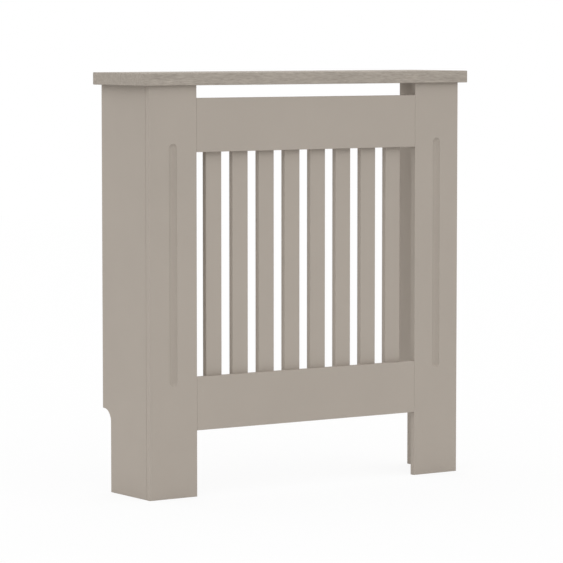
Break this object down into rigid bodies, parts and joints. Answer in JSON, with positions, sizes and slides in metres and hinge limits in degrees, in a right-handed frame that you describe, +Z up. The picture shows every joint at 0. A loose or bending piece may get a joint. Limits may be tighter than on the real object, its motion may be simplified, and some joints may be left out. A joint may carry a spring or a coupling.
{
  "type": "radiator cover cabinet",
  "caption": "Radiator cover cabinet: overhanging top board, side panels notched for the skirting, fluted stiles, two rails and vertical slats lapped behind them, open back.",
  "frame": {"origin": "on the floor, under the middle of the top board", "axes": "+X along the front to the right as seen from the front, +Y from the front to the wall, +Z up"},
  "size_m": [0.774, 0.188, 0.82],
  "materials": {
    "painted_mdf": "satin warm grey paint on smooth fibreboard",
    "top_board_paint": "satin warm grey paint with a faint streaky grain",
    "dowel_wood": "bare beech",
    "zinc_alloy": "die-cast zinc alloy, matt grey",
    "plated_steel": "zinc-plated steel"
  },
  "bodies": {
    "root": {"left_bracket_screws": "plated_steel", "left_side_panel": "painted_mdf", "left_stile": "painted_mdf", "left_stile_cam_bolts": "plated_steel", "left_stile_cam_drums": "zinc_alloy", "left_stile_dowels": "dowel_wood", "left_top_cam_bolts": "plated_steel", "left_top_cam_drums": "zinc_alloy", "left_top_dowels": "dowel_wood", "left_wall_bracket": "plated_steel", "lower_rail": "painted_mdf", "lower_rail_dowels": "dowel_wood", "lower_slat_screws": "plated_steel", "right_bracket_screws": "plated_steel", "right_side_panel": "painted_mdf", "right_stile": "painted_mdf", "right_stile_cam_bolts": "plated_steel", "right_stile_cam_drums": "zinc_alloy", "right_stile_dowels": "dowel_wood", "right_top_cam_bolts": "plated_steel", "right_top_cam_drums": "zinc_alloy", "right_top_dowels": "dowel_wood", "right_wall_bracket": "plated_steel", "slat_1": "painted_mdf", "slat_2": "painted_mdf", "slat_3": "painted_mdf", "slat_4": "painted_mdf", "slat_5": "painted_mdf", "slat_6": "painted_mdf", "slat_7": "painted_mdf", "slat_8": "painted_mdf", "top_board": "top_board_paint", "upper_rail": "painted_mdf", "upper_rail_dowels": "dowel_wood", "upper_slat_screws": "plated_steel"}
  },
  "joints": []
}
